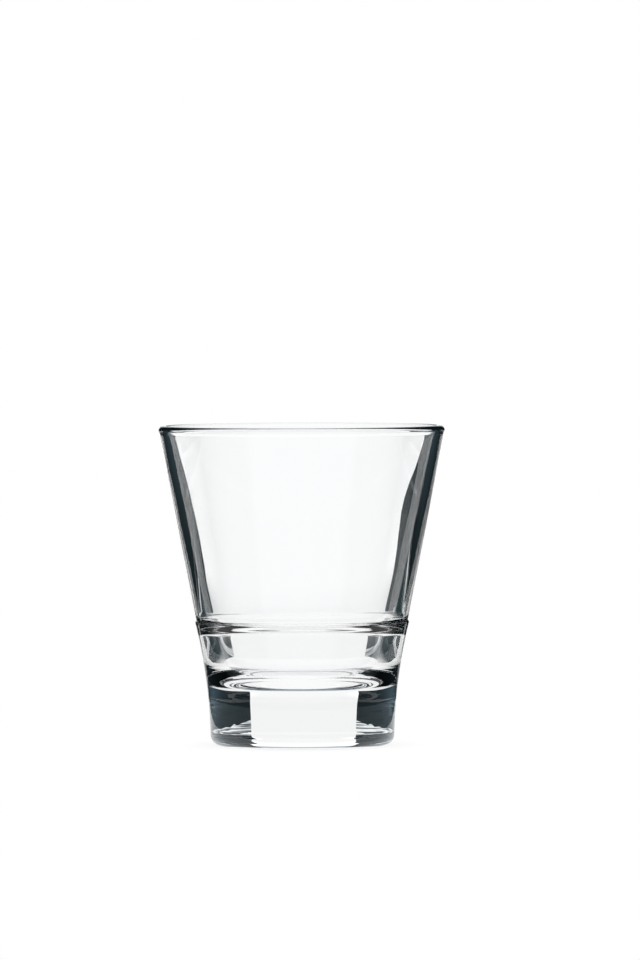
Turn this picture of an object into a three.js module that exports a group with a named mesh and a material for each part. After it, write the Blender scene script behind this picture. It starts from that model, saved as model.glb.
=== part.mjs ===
// Whisky tumbler, pressed in one piece from clear soda-lime glass.
// The glass is one solid of revolution: a tapered bowl with a beaded lip, a shoulder outside and
// a ledge inside it, on which the next glass of a stack would stand, a thick solid base, and a
// foot that is slightly hollow in the middle and rests on a flat ring.
// Millimetres, +Z up, origin on the table plane under the middle of the foot.
import * as THREE from "three";

// Overall size
const height = 109.2; // table to the top of the lip
const lipRadius = 49; // outside of the lip, the widest place

// Foot
const footRadius = 31.4; // where the side would meet the table if the heel were sharp
const heelRound = 3.6; // from the resting ring up into the side
const ringInnerRadius = 26.3; // the flat resting ring lies between here and the heel
const ringEdgeRound = 1;
const puntDepth = 1.1; // how far the hollow middle of the foot stands off the table
const puntSlopeWidth = 2; // from the ring's inner edge to the level part of the hollow
const puntRound = 5; // the soft turn from the level part to that slope

// Shoulder outside, level with the ledge inside
const shoulderHeight = 42.3; // top of the flared lower body
const shoulderRadius = 36.7;
const shoulderInset = 0.48; // how far the upper wall stands back from the shoulder
const shoulderRise = 0.5; // height over which it steps back
const shoulderEdgeRound = 2;
const shoulderFootRound = 0.6;

// Lip
const lipHeight = 2.9; // height of the bead
const lipBulge = 0.4; // how far the bead stands out over the wall
const lipWall = 3.1; // thickness through the bead
const lipBlendRound = 1; // into the bead outside
const neckRound = 1.5; // out of the bead inside

// Wall and the space for the drink
const neckWall = 3.25; // thickness right under the bead
const ledgeWall = 4.2; // thickness right above the ledge
const ledgeHeight = 42.5; // where the upper wall ends inside
const ledgeDrop = 2.5; // height that the ledge falls over its width
const ledgeRadius = 29; // inner edge of the ledge, the mouth of the lower bowl
const ledgeRound = 7.2; // from the upper wall into the ledge
const ledgeEdgeRound = 4; // over the ledge's inner edge
const floorThickness = 19.9; // solid glass from the table plane to the bottom of the drink
const floorRadius = 24.9; // where the lower bowl would meet its floor without the round
const floorRound = 12; // the bowl's own round

const chordGap = 0.05; // widest gap between a round and the straight pieces that follow it

// Shares and counts
const beadShoulderShare = 0.62; // of the lip's height: where the bead reaches its full radius
const lipRoundShare = 0.48; // of the lip's thickness: each of its two top rounds
const flareSteps = 6; // levels that follow the curve of the lower body
const sides = 64; // round the axis

const cornerAt = (radius, z, round = 0) => ({ at: new THREE.Vector2(radius, z), round });

// Turns a list of corners into the points of an outline, with an arc for each rounded corner.
// Two rounds that need more than the edge between them share it.
function roundedOutline(corners) {
  const turns = corners.map(({ at, round }, i) => {
    if (!round) return null;
    const back = corners[i - 1].at.clone().sub(at).normalize();
    const ahead = corners[i + 1].at.clone().sub(at).normalize();
    const halfAngle = Math.acos(THREE.MathUtils.clamp(back.dot(ahead), -1, 1)) / 2;
    return { back, ahead, halfAngle, cut: round / Math.tan(halfAngle) };
  });
  for (let i = 0; i + 1 < corners.length; i++) {
    const pair = [turns[i], turns[i + 1]].filter(Boolean);
    const wanted = pair.reduce((sum, turn) => sum + turn.cut, 0);
    const room = corners[i].at.distanceTo(corners[i + 1].at);
    if (wanted > room) pair.forEach((turn) => (turn.cut *= room / wanted));
  }
  return corners.flatMap(({ at }, i) => (turns[i] ? arcPoints(at, turns[i]) : [at]));
}

// The arc that touches both edges of a corner at the distance `cut` from it.
function arcPoints(corner, { back, ahead, halfAngle, cut }) {
  const start = corner.clone().addScaledVector(back, cut);
  const radius = cut * Math.tan(halfAngle);
  const middle = back.clone().add(ahead).normalize();
  const centre = corner.clone().addScaledVector(middle, radius / Math.sin(halfAngle));
  const arm = start.sub(centre);
  const turn = (Math.PI - 2 * halfAngle) * Math.sign(ahead.cross(back));
  const widestStep = 2 * Math.acos(Math.max(0, 1 - chordGap / radius));
  const steps = Math.ceil(Math.abs(turn) / widestStep);
  return Array.from({ length: steps + 1 }, (_, k) =>
    arm.clone().rotateAround(new THREE.Vector2(), (turn * k) / steps).add(centre),
  );
}

// Under the foot, from the axis out to the heel.
function footCorners() {
  return [
    cornerAt(0, puntDepth),
    cornerAt(ringInnerRadius - puntSlopeWidth, puntDepth, puntRound),
    cornerAt(ringInnerRadius, 0, ringEdgeRound),
    cornerAt(footRadius, 0, heelRound),
  ];
}

// The lower body leaves the heel upright and flares more and more up to the shoulder.
function lowerBodyCorners() {
  const flare = shoulderRadius - footRadius;
  return Array.from({ length: flareSteps }, (_, i) => {
    const z = heelRound + ((shoulderHeight - heelRound) * (i + 1)) / flareSteps;
    const radius = footRadius + flare * (z / shoulderHeight) ** 2;
    return cornerAt(radius, z, i + 1 === flareSteps ? shoulderEdgeRound : 0);
  });
}

// The straight upper wall outside, then over the bead and a little way down inside.
function upperWallAndLipCorners() {
  const lipRound = lipWall * lipRoundShare;
  const neck = height - lipHeight;
  return [
    cornerAt(shoulderRadius - shoulderInset, shoulderHeight + shoulderRise, shoulderFootRound),
    cornerAt(lipRadius - lipBulge, neck, lipBlendRound),
    cornerAt(lipRadius, height - lipHeight * beadShoulderShare, lipBlendRound),
    cornerAt(lipRadius, height, lipRound),
    cornerAt(lipRadius - lipWall, height, lipRound),
    cornerAt(lipRadius - lipBulge - neckWall, neck, neckRound),
  ];
}

// Down the inside: the ledge, the lower bowl and its floor, back to the axis.
function drinkSpaceCorners() {
  return [
    cornerAt(shoulderRadius - shoulderInset - ledgeWall, ledgeHeight, ledgeRound),
    cornerAt(ledgeRadius, ledgeHeight - ledgeDrop, ledgeEdgeRound),
    cornerAt(floorRadius, floorThickness, floorRound),
    cornerAt(0, floorThickness),
  ];
}

function tumbler() {
  const outline = roundedOutline([
    ...footCorners(),
    ...lowerBodyCorners(),
    ...upperWallAndLipCorners(),
    ...drinkSpaceCorners(),
  ]);
  const geometry = new THREE.LatheGeometry(outline, sides);
  geometry.rotateX(Math.PI / 2); // the lathe turns about +Y
  const clearGlass = new THREE.MeshStandardMaterial({
    color: 0xdfe8ea,
    roughness: 0.03,
    metalness: 0,
    transparent: true,
    opacity: 0.35,
  });
  const mesh = new THREE.Mesh(geometry, clearGlass);
  mesh.name = "tumbler";
  return mesh;
}

const whiskyGlass = new THREE.Group();
whiskyGlass.add(tumbler());

export default whiskyGlass;
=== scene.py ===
# Whisky tumbler of clear pressed glass on a white table, lit the way glassware is photographed:
# white behind the glass, dark at its sides, so that its walls draw themselves as dark lines.
import math

import bpy
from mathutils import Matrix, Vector


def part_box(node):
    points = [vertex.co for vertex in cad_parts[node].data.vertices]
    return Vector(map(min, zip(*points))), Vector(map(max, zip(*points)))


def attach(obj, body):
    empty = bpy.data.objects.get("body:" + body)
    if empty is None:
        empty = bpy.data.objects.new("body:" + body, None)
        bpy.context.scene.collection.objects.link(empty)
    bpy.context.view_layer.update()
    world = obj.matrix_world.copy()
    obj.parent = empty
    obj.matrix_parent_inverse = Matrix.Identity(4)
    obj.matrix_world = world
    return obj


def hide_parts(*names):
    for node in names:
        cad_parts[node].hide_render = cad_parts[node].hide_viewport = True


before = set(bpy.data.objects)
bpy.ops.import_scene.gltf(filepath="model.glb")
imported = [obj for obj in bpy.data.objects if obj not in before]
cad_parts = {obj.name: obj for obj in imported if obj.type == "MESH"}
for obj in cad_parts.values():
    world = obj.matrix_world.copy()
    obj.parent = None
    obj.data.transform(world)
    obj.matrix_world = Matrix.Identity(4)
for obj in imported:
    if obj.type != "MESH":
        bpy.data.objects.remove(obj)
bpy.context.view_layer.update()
lowCorner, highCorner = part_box("tumbler")
mm = 0.001

# Camera first: a long lens, a good way off and only a little above the glass

cameraSet = {
    "place": (0.0, -3.0, 0.175),
    "aim": (0.00628, 0.0, 0.09054),  # the point in the middle of the picture
    "lens": 329.4,
    "roll": -0.0035,
    "clipStart": 0.1,
    "clipEnd": 60,
}


def makeCamera(given):
    data = bpy.data.cameras.new("camera")
    data.lens = given["lens"]
    data.clip_start = given["clipStart"]
    data.clip_end = given["clipEnd"]
    camera = bpy.data.objects.new("camera", data)
    bpy.context.scene.collection.objects.link(camera)
    sight = Vector(given["aim"]) - Vector(given["place"])
    camera.location = given["place"]
    camera.rotation_euler = sight.to_track_quat("-Z", "Y").to_euler()
    camera.rotation_euler.rotate_axis("Z", given["roll"])
    bpy.context.scene.camera = camera
    print("camera placed")


# Short ways to fill a node tree. The glass's shape, its finish and the studio all use them.


class Nodes:
    def __init__(self, tree):
        self.tree = tree
        tree.nodes.clear()

    def make(self, kind, **values):
        node = self.tree.nodes.new(kind)
        for name, value in values.items():
            setattr(node, name, value)
        return node

    def feed(self, socket, value):
        if isinstance(value, bpy.types.NodeSocket):
            self.tree.links.new(value, socket)
        else:
            socket.default_value = value

    def maths(self, operation, *values):
        node = self.make("ShaderNodeMath", operation=operation)
        for socket, value in zip(node.inputs, values):
            self.feed(socket, value)
        return node.outputs[0]

    def vector(self, operation, *values):
        node = self.make("ShaderNodeVectorMath", operation=operation)
        for socket, value in zip(node.inputs, values):
            self.feed(socket, value)
        return node.outputs["Value" if operation == "DOT_PRODUCT" else "Vector"]

    def product(self, *values):
        result = values[0]
        for value in values[1:]:
            result = self.maths("MULTIPLY", result, value)
        return result

    def ranged(self, value, fromMin, fromMax, toMin=0, toMax=1):
        node = self.make("ShaderNodeMapRange")
        for socket, given in zip(node.inputs, (value, fromMin, fromMax, toMin, toMax)):
            self.feed(socket, given)
        return node.outputs[0]

    def combined(self, x, y, z=0):
        node = self.make("ShaderNodeCombineXYZ")
        for socket, value in zip(node.inputs, (x, y, z)):
            self.feed(socket, value)
        return node.outputs[0]

    def blend(self, share, first, second):
        # A Mix node keeps its colours in inputs 6 and 7 and in output 2
        node = self.make("ShaderNodeMix", data_type="RGBA")
        self.feed(node.inputs[0], share)
        self.feed(node.inputs[6], first)
        self.feed(node.inputs[7], second)
        return node.outputs[2]

    def along(self, value, points):
        # The height, at this value, of a line drawn through the given points
        node = self.make("ShaderNodeValToRGB")
        stops = node.color_ramp.elements
        stops.remove(stops[1])
        widest = points[-1][0]
        highest = max(y for _, y in points)
        for i, (x, y) in enumerate(points):
            stop = stops.new(x / widest) if i else stops[0]
            stop.position = x / widest
            stop.color = (y / highest, y / highest, y / highest, 1)
        self.feed(node.inputs[0], self.maths("DIVIDE", value, widest))
        return self.maths("MULTIPLY", node.outputs[0], highest)

    def fromCamera(self):
        # Position and travel of a ray, as (aside, away, up), with the camera's side taken as the front
        spot = self.make("ShaderNodeVectorTransform", vector_type="POINT")
        spot.convert_from = "CAMERA"
        spot.convert_to = "WORLD"
        spot.inputs[0].default_value = (0, 0, 0)
        level = self.vector("MULTIPLY", spot.outputs[0], (-1, -1, 0))
        away = self.vector("NORMALIZE", level)
        aside = self.vector("CROSS_PRODUCT", away, (0, 0, 1))
        geometry = self.make("ShaderNodeNewGeometry")
        travel = self.vector("MULTIPLY", geometry.outputs["Incoming"], (-1, -1, -1))
        result = []
        for arrow in (geometry.outputs["Position"], travel):
            result.append([self.vector("DOT_PRODUCT", arrow, axis) for axis in (aside, away, (0, 0, 1))])
        return result

    def glow(self, colour):
        node = self.make("ShaderNodeEmission")
        self.feed(node.inputs["Color"], colour)
        return node.outputs[0]

    def finish(self, light, kind="ShaderNodeOutputMaterial"):
        self.feed(self.make(kind).inputs["Surface"], light)


# The glass: one outline, turned round the axis by Geometry Nodes

glassSizes = {
    "height": highCorner.z - lowCorner.z,
    "lipRadius": (highCorner.x - lowCorner.x) / 2,
    "footRadius": 31.4 * mm,
    "heelRound": 3.6 * mm,
    "ringInnerRadius": 26.3 * mm,
    "ringEdgeRound": 1 * mm,
    "puntDepth": 1.1 * mm,
    "puntSlopeWidth": 2 * mm,
    "puntRound": 5 * mm,
    "shoulderHeight": 42.3 * mm,
    "shoulderRadius": 36.7 * mm,
    "shoulderInset": 0.48 * mm,
    "shoulderRise": 0.5 * mm,
    "shoulderEdgeRound": 2 * mm,
    "shoulderFootRound": 0.6 * mm,
    "lipHeight": 2.9 * mm,
    "lipBulge": 0.4 * mm,
    "lipWall": 3.1 * mm,
    "lipBlendRound": 1 * mm,
    "neckRound": 1.5 * mm,
    "neckWall": 3.25 * mm,
    "ledgeWall": 4.2 * mm,
    "ledgeHeight": 42.5 * mm,
    "ledgeDrop": 2.5 * mm,
    "ledgeRadius": 29 * mm,
    "ledgeRound": 7.2 * mm,
    "ledgeEdgeRound": 4 * mm,
    "floorThickness": 19.9 * mm,
    "floorRadius": 24.9 * mm,
    "floorRound": 12 * mm,
    "beadShoulderShare": 0.62,
    "lipRoundShare": 0.48,
    "flareSteps": 24,
    "arcStep": math.radians(4),
    "longestStep": 2 * mm,
    "pointsOverLip": 4,  # how far past the top of the lip the inside starts
    "rippleInset": 0.4 * mm,  # the foot's ripples stay this far inside the hollow's slope
    "sides": 256,
    "weldDistance": 0.001 * mm,
}

# The glass isn't quite true: its inside leans and waves a little, and the hollow of its foot is rippled

unevenness = {
    "Lean low": -0.3 * mm,
    "Lean high": 0.0 * mm,
    "Low level": 45 * mm,
    "High level": 81 * mm,
    "Wave height": 0.05 * mm,
    "Wave pitch": 16 * mm,
    "Wave length": 30 * mm,
    "Full wave radius": 20 * mm,  # nearer to the axis than this the waves grow flat
    "Fade from": 106 * mm,  # the lip stays true
    "Fade to": 96 * mm,
    "Foot height": 0.07 * mm,
    "Foot pitch": 12 * mm,
    "Seed": 3.0,
}


def glassCorners(sizes):
    # (radius, height, round) of each corner, from under the foot, up the outside and down the inside
    top = sizes["height"]
    neck = top - sizes["lipHeight"]
    wallFoot = sizes["shoulderRadius"] - sizes["shoulderInset"]
    lipRound = sizes["lipWall"] * sizes["lipRoundShare"]
    corners = [
        (0, sizes["puntDepth"], 0),
        (sizes["ringInnerRadius"] - sizes["puntSlopeWidth"], sizes["puntDepth"], sizes["puntRound"]),
        (sizes["ringInnerRadius"], 0, sizes["ringEdgeRound"]),
        (sizes["footRadius"], 0, sizes["heelRound"]),
    ]
    for step in range(1, sizes["flareSteps"] + 1):
        climb = (sizes["shoulderHeight"] - sizes["heelRound"]) * step / sizes["flareSteps"]
        z = sizes["heelRound"] + climb
        flare = (sizes["shoulderRadius"] - sizes["footRadius"]) * (z / sizes["shoulderHeight"]) ** 2
        edge = sizes["shoulderEdgeRound"] if step == sizes["flareSteps"] else 0
        corners.append((sizes["footRadius"] + flare, z, edge))
    corners += [
        (wallFoot, sizes["shoulderHeight"] + sizes["shoulderRise"], sizes["shoulderFootRound"]),
        (sizes["lipRadius"] - sizes["lipBulge"], neck, sizes["lipBlendRound"]),
        (sizes["lipRadius"], top - sizes["lipHeight"] * sizes["beadShoulderShare"], sizes["lipBlendRound"]),
        (sizes["lipRadius"], top, lipRound),
        (sizes["lipRadius"] - sizes["lipWall"], top, lipRound),
        (sizes["lipRadius"] - sizes["lipBulge"] - sizes["neckWall"], neck, sizes["neckRound"]),
        (wallFoot - sizes["ledgeWall"], sizes["ledgeHeight"], sizes["ledgeRound"]),
        (sizes["ledgeRadius"], sizes["ledgeHeight"] - sizes["ledgeDrop"], sizes["ledgeEdgeRound"]),
        (sizes["floorRadius"], sizes["floorThickness"], sizes["floorRound"]),
        (0, sizes["floorThickness"], 0),
    ]
    return corners


def roundedOutline(corners, arcStep):
    # Points of the outline, with an arc at each rounded corner; two rounds share a short edge
    places = [Vector((radius, height)) for radius, height, _ in corners]
    turns = []
    for i, (_, _, rounding) in enumerate(corners):
        if not rounding:
            turns.append(None)
            continue
        back = (places[i - 1] - places[i]).normalized()
        ahead = (places[i + 1] - places[i]).normalized()
        half = math.acos(max(-1, min(1, back.dot(ahead)))) / 2
        turns.append({"back": back, "ahead": ahead, "half": half, "cut": rounding / math.tan(half)})
    for i in range(len(corners) - 1):
        pair = [turn for turn in turns[i : i + 2] if turn]
        wanted = sum(turn["cut"] for turn in pair)
        room = (places[i + 1] - places[i]).length
        if wanted > room:
            for turn in pair:
                turn["cut"] *= room / wanted
    points = []
    for place, turn in zip(places, turns):
        if not turn:
            points.append(place)
            continue
        radius = turn["cut"] * math.tan(turn["half"])
        middle = (turn["back"] + turn["ahead"]).normalized()
        centre = place + middle * (radius / math.sin(turn["half"]))
        arm = place + turn["back"] * turn["cut"] - centre
        sweep = math.pi - 2 * turn["half"]
        if turn["ahead"].x * turn["back"].y - turn["ahead"].y * turn["back"].x < 0:
            sweep = -sweep
        steps = max(1, math.ceil(abs(sweep) / arcStep))
        for step in range(steps + 1):
            angle = sweep * step / steps
            c, s = math.cos(angle), math.sin(angle)
            points.append(centre + Vector((c * arm.x - s * arm.y, s * arm.x + c * arm.y)))
    return points


def withEvenSteps(points, longest):
    # The same outline with points added on its long straight parts
    dense = []
    for here, there in zip(points, points[1:]):
        pieces = max(1, math.ceil((there - here).length / longest))
        dense += [here.lerp(there, i / pieces) for i in range(pieces)]
    return dense + [points[-1]]


def outlineObject(points, pointsOverLip, rippleRadius):
    # The outline as a chain of edges, with its inside and the hollow under the foot marked
    mesh = bpy.data.meshes.new("tumblerOutline")
    edges = [(i, i + 1) for i in range(len(points) - 1)]
    mesh.from_pydata([(point.x, 0, point.y) for point in points], edges, [])
    top = max(range(len(points)), key=lambda i: points[i].y)
    marks = {
        "inside": [i > top + pointsOverLip for i in range(len(points))],
        "under": [i < top and point.x < rippleRadius for i, point in enumerate(points)],
    }
    for name, values in marks.items():
        mark = mesh.attributes.new(name, "FLOAT", "POINT")
        mark.data.foreach_set("value", [float(value) for value in values])
    piece = bpy.data.objects.new("tumbler_glass", mesh)
    bpy.context.scene.collection.objects.link(piece)
    return piece


def turnedTree():
    # Turns an outline in the XZ plane round the Z axis into a closed skin
    tree = bpy.data.node_groups.new("turnedOutline", "GeometryNodeTree")
    add = tree.interface.new_socket
    add("Geometry", in_out="INPUT", socket_type="NodeSocketGeometry")
    add("Sides", in_out="INPUT", socket_type="NodeSocketInt")
    add("Weld distance", in_out="INPUT", socket_type="NodeSocketFloat")
    for name in unevenness:
        add(name, in_out="INPUT", socket_type="NodeSocketFloat")
    add("Material", in_out="INPUT", socket_type="NodeSocketMaterial")
    add("Geometry", in_out="OUTPUT", socket_type="NodeSocketGeometry")
    nodes = Nodes(tree)
    given = nodes.make("NodeGroupInput").outputs

    # a grid with a column for each side and a row for each point of the outline
    size = nodes.make("GeometryNodeAttributeDomainSize")
    nodes.feed(size.inputs[0], given["Geometry"])
    count = size.outputs["Point Count"]
    grid = nodes.make("GeometryNodeMeshGrid")
    nodes.feed(grid.inputs["Vertices X"], nodes.maths("ADD", given["Sides"], 1))
    nodes.feed(grid.inputs["Vertices Y"], count)
    index = nodes.make("GeometryNodeInputIndex").outputs[0]
    column = nodes.maths("FLOOR", nodes.maths("DIVIDE", nodes.maths("ADD", index, 0.5), count))
    row = nodes.maths("SUBTRACT", index, nodes.maths("MULTIPLY", column, count))
    angle = nodes.maths("MULTIPLY", nodes.maths("DIVIDE", column, given["Sides"]), math.tau)

    def sampled(field, dataType):
        node = nodes.make("GeometryNodeSampleIndex", data_type=dataType, domain="POINT")
        nodes.feed(node.inputs["Geometry"], given["Geometry"])
        nodes.feed(node.inputs["Value"], field)
        nodes.feed(node.inputs["Index"], row)
        return node.outputs["Value"]

    def marked(name):
        node = nodes.make("GeometryNodeInputNamedAttribute", data_type="FLOAT")
        node.inputs["Name"].default_value = name
        return sampled(node.outputs["Attribute"], "FLOAT")

    split = nodes.make("ShaderNodeSeparateXYZ")
    place = nodes.make("GeometryNodeInputPosition").outputs[0]
    nodes.feed(split.inputs[0], sampled(place, "FLOAT_VECTOR"))
    radius = split.outputs["X"]
    level = split.outputs["Z"]
    turnX = nodes.maths("COSINE", angle)
    turnY = nodes.maths("SINE", angle)

    def swinging(pitch, length, detail):
        # noise round the glass, from -1 to 1
        noise = nodes.make("ShaderNodeTexNoise", noise_dimensions="4D")
        x = nodes.maths("DIVIDE", nodes.product(radius, turnX), pitch)
        y = nodes.maths("DIVIDE", nodes.product(radius, turnY), pitch)
        nodes.feed(noise.inputs["Vector"], nodes.combined(x, y, nodes.maths("DIVIDE", level, length)))
        nodes.feed(noise.inputs["W"], given["Seed"])
        nodes.feed(noise.inputs["Scale"], 1)
        nodes.feed(noise.inputs["Detail"], detail)
        return nodes.maths("MULTIPLY", nodes.maths("SUBTRACT", noise.outputs[0], 0.5), 2)

    fade = nodes.ranged(level, given["Fade from"], given["Fade to"])
    amount = nodes.product(marked("inside"), fade)
    lean = nodes.ranged(
        level, given["Low level"], given["High level"], given["Lean low"], given["Lean high"]
    )
    swing = swinging(given["Wave pitch"], given["Wave length"], 1)
    wave = nodes.product(swing, given["Wave height"], amount)
    wide = nodes.maths("MINIMUM", nodes.maths("DIVIDE", radius, given["Full wave radius"]), 1)
    wavyRadius = nodes.maths("ADD", radius, nodes.product(wave, wide))
    ripple = swinging(given["Foot pitch"], given["Foot pitch"], 2)
    rise = nodes.product(ripple, given["Foot height"], marked("under"))

    x = nodes.maths("ADD", nodes.product(wavyRadius, turnX), nodes.product(lean, amount))
    y = nodes.product(wavyRadius, turnY)
    setPlace = nodes.make("GeometryNodeSetPosition")
    nodes.feed(setPlace.inputs["Geometry"], grid.outputs["Mesh"])
    nodes.feed(setPlace.inputs["Position"], nodes.combined(x, y, nodes.maths("ADD", level, rise)))
    merge = nodes.make("GeometryNodeMergeByDistance")
    nodes.feed(merge.inputs["Geometry"], setPlace.outputs[0])
    nodes.feed(merge.inputs["Distance"], given["Weld distance"])
    smooth = nodes.make("GeometryNodeSetShadeSmooth")
    nodes.feed(smooth.inputs["Geometry"], merge.outputs[0])
    realize = nodes.make("GeometryNodeRealizeInstances")
    nodes.feed(realize.inputs[0], smooth.outputs[0])
    paint = nodes.make("GeometryNodeSetMaterial")
    nodes.feed(paint.inputs["Geometry"], realize.outputs[0])
    nodes.feed(paint.inputs["Material"], given["Material"])
    nodes.feed(nodes.make("NodeGroupOutput").inputs[0], paint.outputs[0])
    return tree


def setInput(modifier, name, value):
    for item in modifier.node_group.interface.items_tree:
        if item.item_type == "SOCKET" and item.in_out == "INPUT" and item.name == name:
            modifier[item.identifier] = value


def makeTumbler(sizes, uneven, material):
    outline = withEvenSteps(roundedOutline(glassCorners(sizes), sizes["arcStep"]), sizes["longestStep"])
    rippleRadius = sizes["ringInnerRadius"] - sizes["puntSlopeWidth"] - sizes["rippleInset"]
    piece = outlineObject(outline, sizes["pointsOverLip"], rippleRadius)
    modifier = piece.modifiers.new("turned", "NODES")
    modifier.node_group = turnedTree()
    setInput(modifier, "Sides", sizes["sides"])
    setInput(modifier, "Weld distance", sizes["weldDistance"])
    setInput(modifier, "Material", material)
    for name, value in uneven.items():
        setInput(modifier, name, value)
    bpy.context.view_layer.update()
    graph = bpy.context.evaluated_depsgraph_get()
    mesh = bpy.data.meshes.new_from_object(piece.evaluated_get(graph))
    piece.modifiers.clear()
    piece.data = mesh
    mesh.name = "tumbler_glass"
    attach(piece, "root")
    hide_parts("tumbler")
    print("tumbler turned:", len(mesh.vertices), "points,", len(mesh.polygons), "faces")


# Clear glass, fire-polished, with faint ripples in its skin and faintly duller patches

glassFinish = {
    "ior": 1.52,
    "colour": (0.996, 0.999, 1, 1),
    "roughness": (0, 0.002),
    "patchSize": 30 * mm,
    "patchFromTo": (0.5, 0.75),  # where in the noise a patch starts and is full
    "rippleSize": 9 * mm,
    "rippleHeight": 0.004 * mm,
}


def makeGlass(given):
    material = bpy.data.materials.new("clearGlass")
    material.use_nodes = True
    nodes = Nodes(material.node_tree)
    shader = nodes.make("ShaderNodeBsdfPrincipled")
    place = nodes.make("ShaderNodeTexCoord").outputs["Object"]

    def cloud(size, detail):
        node = nodes.make("ShaderNodeTexNoise")
        nodes.feed(node.inputs["Vector"], place)
        nodes.feed(node.inputs["Scale"], 1 / size)
        nodes.feed(node.inputs["Detail"], detail)
        return node.outputs[0]

    patches = nodes.ranged(cloud(given["patchSize"], 2), *given["patchFromTo"], *given["roughness"])
    ripple = nodes.make("ShaderNodeBump")
    nodes.feed(ripple.inputs["Distance"], given["rippleHeight"])
    nodes.feed(ripple.inputs["Height"], cloud(given["rippleSize"], 1))
    nodes.feed(shader.inputs["Normal"], ripple.outputs[0])
    nodes.feed(shader.inputs["Roughness"], patches)
    nodes.feed(shader.inputs["Base Color"], given["colour"])
    nodes.feed(shader.inputs["IOR"], given["ior"])
    nodes.feed(shader.inputs["Transmission Weight"], 1)
    nodes.finish(shader.outputs[0])
    print("glass mixed")
    return material


# The studio, worked out in light alone: a window behind the glass, black cards beside it that reach round
# to the front, a grey room in front of them and a white table. The set always stands behind the glass as
# the camera sees it, as if the glass were on a turntable, and only the glass sees it.

stageSet = {
    "windowY": 213 * mm,
    # the window's two edges as (height, distance from the middle), bent to fit the bands in the walls
    "windowLeft": [
        (z * mm, x * mm)
        for z, x in ((26, 82.5), (36, 85), (43, 82), (68, 84.5), (74, 88), (86, 98), (98, 92))
    ],
    "windowRight": [
        (z * mm, x * mm)
        for z, x in ((26, 77), (36, 75.5), (56, 69), (62, 66.5), (68, 67), (74, 71), (86, 86), (98, 83.5))
    ],
    "windowTop": 130 * mm,
    "window": (0.965, 0.965, 0.965, 1),
    "windowHigh": (1.02, 1.02, 1.02, 1),  # a little brighter higher up, and more so towards its sides
    "windowHighFromTo": (30 * mm, 42 * mm),
    "windowAside": (1.45, 1.45, 1.45, 1),
    "windowAsideFromTo": (55 * mm, 84 * mm),
    # the cards' lower edge as (distance from the middle, height)
    "cardFoot": [
        (x * mm, z * mm)
        for x, z in ((0, 11), (80, 11), (100, 9), (118, 7), (130, 9), (150, 5), (180, 6), (230, 3))
    ],
    "cardX": 370 * mm,
    "cardFrontY": -280 * mm,
    "cardTop": 750 * mm,
    "black": (0.0096, 0.0155, 0.0174, 1),
    "blackAside": (0.064, 0.1, 0.126, 1),  # the cards are lighter at the sides, but not low down
    "blackAsideFromTo": (120 * mm, 370 * mm),
    "blackUpFromTo": (15 * mm, 60 * mm),
    "gap": (0.92, 0.95, 0.96, 1),  # light comes through under the cards, in streaks
    "gapDark": (0.056, 0.07, 0.078, 1),
    "streakLength": 120 * mm,
    "streakHeight": 2 * mm,
    "streakFromTo": (0.4, 0.55),
    "grey": (0.378, 0.45, 0.504, 1),  # the room
    "white": (1, 1, 1, 1),
    "paintedCardReflection": (0.0267, 0.043, 0.0482, 1),  # a painted reflection of the cards in the table
    "paintedFrontReflection": (0.0186, 0.03, 0.0336, 1),  # a painted dark reflection in the table in front of the glass
    "tableSize": 4,  # metres
    "stripHalfWidth": 85 * mm,  # the window's painted reflection in the table
    "stripFrontY": -30 * mm,
    "steepFromTo": (0.23, 0.34),  # sine of the angle at which the table starts to look white
    "contactReach": 12 * mm,
    "contactShade": 0.9,
    "drumMargin": 1 * mm,
    "drumTop": 300 * mm,
    "drumSides": 96,
    "leastStep": 0.0001,  # a ray that goes away from the camera by less never meets the window
}


def sheetObject(name, corners, faces, material):
    mesh = bpy.data.meshes.new(name)
    mesh.from_pydata(corners, [], faces)
    mesh.materials.append(material)
    sheet = bpy.data.objects.new(name, mesh)
    bpy.context.scene.collection.objects.link(sheet)
    return sheet


def tableLight(nodes, stage, x, y, stepZ):
    # The table as the glass sees it: white where the ray is steep. Where it is flat, it shows a painted
    # reflection of the window and the cards, as a shiny top would.
    inStrip = nodes.maths("LESS_THAN", nodes.maths("ABSOLUTE", x), stage["stripHalfWidth"])
    behind = nodes.maths("GREATER_THAN", y, stage["stripFrontY"])
    steep = nodes.ranged(nodes.maths("MULTIPLY", stepZ, -1), *stage["steepFromTo"])
    mirrored = nodes.blend(inStrip, stage["paintedCardReflection"], stage["white"])
    flat = nodes.blend(behind, stage["paintedFrontReflection"], mirrored)
    return nodes.blend(steep, flat, stage["white"])


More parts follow.
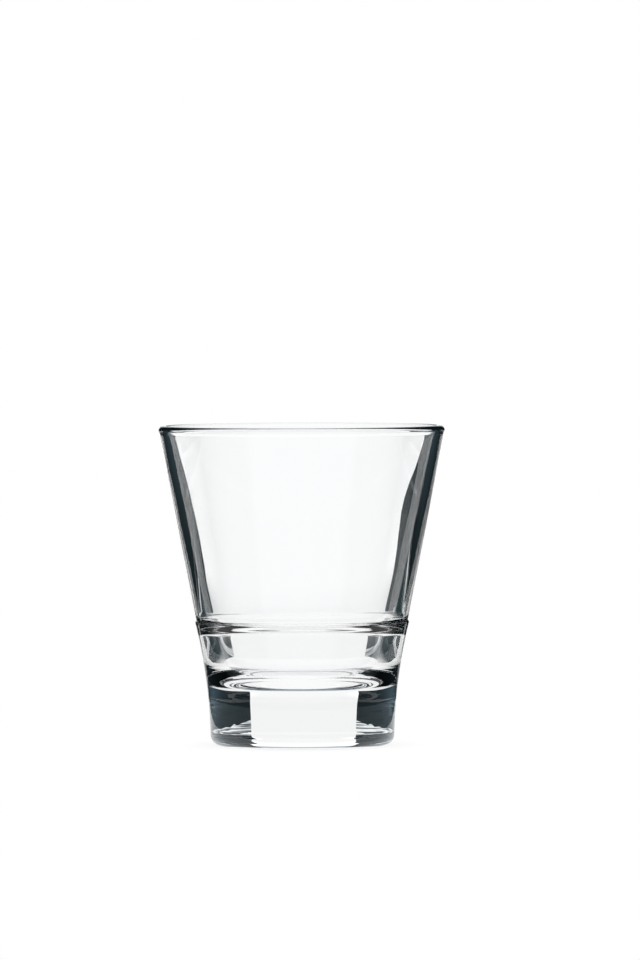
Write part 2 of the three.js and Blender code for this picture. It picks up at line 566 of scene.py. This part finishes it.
def surroundingLight(stage):
    material = bpy.data.materials.new("surroundingLight")
    material.use_nodes = True
    nodes = Nodes(material.node_tree)
    (x, y, z), (stepX, stepY, stepZ) = nodes.fromCamera()

    def traced(place, steps, step):
        # the place on a ray, so many steps back
        return nodes.maths("SUBTRACT", place, nodes.product(steps, step))

    # where the ray crossed the plane of the window
    back = nodes.maths("DIVIDE", nodes.maths("SUBTRACT", y, stage["windowY"]), stepY)
    backX = traced(x, back, stepX)
    backZ = traced(z, back, stepZ)
    goesBack = nodes.maths("GREATER_THAN", stepY, stage["leastStep"])
    reachesBack = nodes.maths("LESS_THAN", nodes.maths("ABSOLUTE", backX), stage["cardX"])
    onBack = nodes.product(goesBack, reachesBack)
    # or else the plane of the card at its side
    sideX = nodes.maths("MULTIPLY", nodes.maths("SIGN", stepX), stage["cardX"])
    side = nodes.maths("DIVIDE", nodes.maths("SUBTRACT", x, sideX), stepX)
    sideY = traced(y, side, stepY)
    sideZ = traced(z, side, stepZ)
    notBack = nodes.maths("SUBTRACT", 1, onBack)
    onSide = nodes.product(notBack, nodes.maths("GREATER_THAN", sideY, stage["cardFrontY"]))

    onCard = nodes.maths("ADD", onBack, onSide)
    across = nodes.maths("ADD", nodes.product(onBack, backX), nodes.product(notBack, sideX))
    aside = nodes.maths("ABSOLUTE", across)
    up = nodes.maths("ADD", nodes.product(onBack, backZ), nodes.product(notBack, sideZ))

    left = nodes.maths("MULTIPLY", nodes.along(up, stage["windowLeft"]), -1)
    right = nodes.along(up, stage["windowRight"])
    inWindow = nodes.product(
        onBack, nodes.maths("GREATER_THAN", across, left), nodes.maths("LESS_THAN", across, right)
    )
    underCard = nodes.maths("LESS_THAN", up, nodes.along(aside, stage["cardFoot"]))
    inGap = nodes.product(onCard, underCard, nodes.maths("SUBTRACT", 1, inWindow))

    farAside = nodes.ranged(aside, *stage["blackAsideFromTo"])
    farUp = nodes.ranged(up, *stage["blackUpFromTo"])
    black = nodes.blend(nodes.product(farAside, farUp), stage["black"], stage["blackAside"])
    inCard = nodes.product(onCard, nodes.maths("LESS_THAN", up, stage["cardTop"]))
    cards = nodes.blend(inCard, stage["grey"], black)

    bright = nodes.ranged(aside, *stage["windowAsideFromTo"])
    high = nodes.blend(bright, stage["windowHigh"], stage["windowAside"])
    white = nodes.blend(nodes.ranged(up, *stage["windowHighFromTo"]), stage["window"], high)
    underTop = nodes.maths("LESS_THAN", up, stage["windowTop"])
    window = nodes.blend(underTop, stage["grey"], white)

    streaks = nodes.make("ShaderNodeTexNoise")
    streakX = nodes.maths("DIVIDE", across, stage["streakLength"])
    streakZ = nodes.maths("DIVIDE", up, stage["streakHeight"])
    nodes.feed(streaks.inputs["Vector"], nodes.combined(streakX, streakZ))
    nodes.feed(streaks.inputs["Scale"], 1)
    lit = nodes.ranged(streaks.outputs[0], *stage["streakFromTo"])
    gap = nodes.blend(lit, stage["gapDark"], stage["gap"])

    wall = nodes.blend(inGap, nodes.blend(inWindow, cards, window), gap)
    # or the table, where the ray would have met it first
    table = tableLight(nodes, stage, across, y, stepZ)
    nodes.finish(nodes.glow(nodes.blend(nodes.maths("LESS_THAN", up, 0), wall, table)))
    return material


def makeSurround(stage):
    # A drum round the glass that carries all of the light
    reach = (stage["windowY"] + stage["drumMargin"]) / math.cos(math.pi / stage["drumSides"])
    turns = [math.tau * i / stage["drumSides"] for i in range(stage["drumSides"])]
    ring = [(reach * math.cos(turn), reach * math.sin(turn)) for turn in turns]
    corners = [(x, y, z) for z in (-stage["drumMargin"], stage["drumTop"]) for x, y in ring]
    count = len(ring)
    faces = [(i, (i + 1) % count, (i + 1) % count + count, i + count) for i in range(count)]
    faces.append(tuple(range(count, 2 * count)))
    drum = sheetObject("surround", corners, faces, surroundingLight(stage))
    drum.visible_camera = False
    drum.visible_diffuse = False
    drum.visible_shadow = False
    print("surround set")


def makeTable(stage):
    # White to the camera, with a soft contact shadow
    material = bpy.data.materials.new("tableTop")
    material.use_nodes = True
    nodes = Nodes(material.node_tree)
    (x, y, _), (_, _, stepZ) = nodes.fromCamera()
    seenThrough = tableLight(nodes, stage, x, y, stepZ)
    contact = nodes.make("ShaderNodeAmbientOcclusion")
    nodes.feed(contact.inputs["Distance"], stage["contactReach"])
    shade = nodes.ranged(contact.outputs["AO"], 0, 1, stage["contactShade"], 1)
    path = nodes.make("ShaderNodeLightPath")
    nodes.finish(nodes.glow(nodes.blend(path.outputs["Is Camera Ray"], seenThrough, shade)))
    half = stage["tableSize"] / 2
    corners = [(-half, -half, 0), (half, -half, 0), (half, half, 0), (-half, half, 0)]
    sheetObject("table", corners, [(0, 1, 2, 3)], material)
    print("table laid")


def makeRoom(stage):
    # White to the camera and a plain grey room to all else
    world = bpy.data.worlds.new("room")
    bpy.context.scene.world = world
    world.use_nodes = True
    nodes = Nodes(world.node_tree)
    path = nodes.make("ShaderNodeLightPath")
    shade = nodes.make("ShaderNodeBackground")
    tone = nodes.blend(path.outputs["Is Camera Ray"], stage["grey"], stage["white"])
    nodes.feed(shade.inputs["Color"], tone)
    nodes.finish(shade.outputs[0], "ShaderNodeOutputWorld")
    print("room set")


makeCamera(cameraSet)
makeTumbler(glassSizes, unevenness, makeGlass(glassFinish))
makeSurround(stageSet)
makeTable(stageSet)
makeRoom(stageSet)

bpy.context.scene.view_settings.view_transform = "Standard"
bpy.context.view_layer.update()
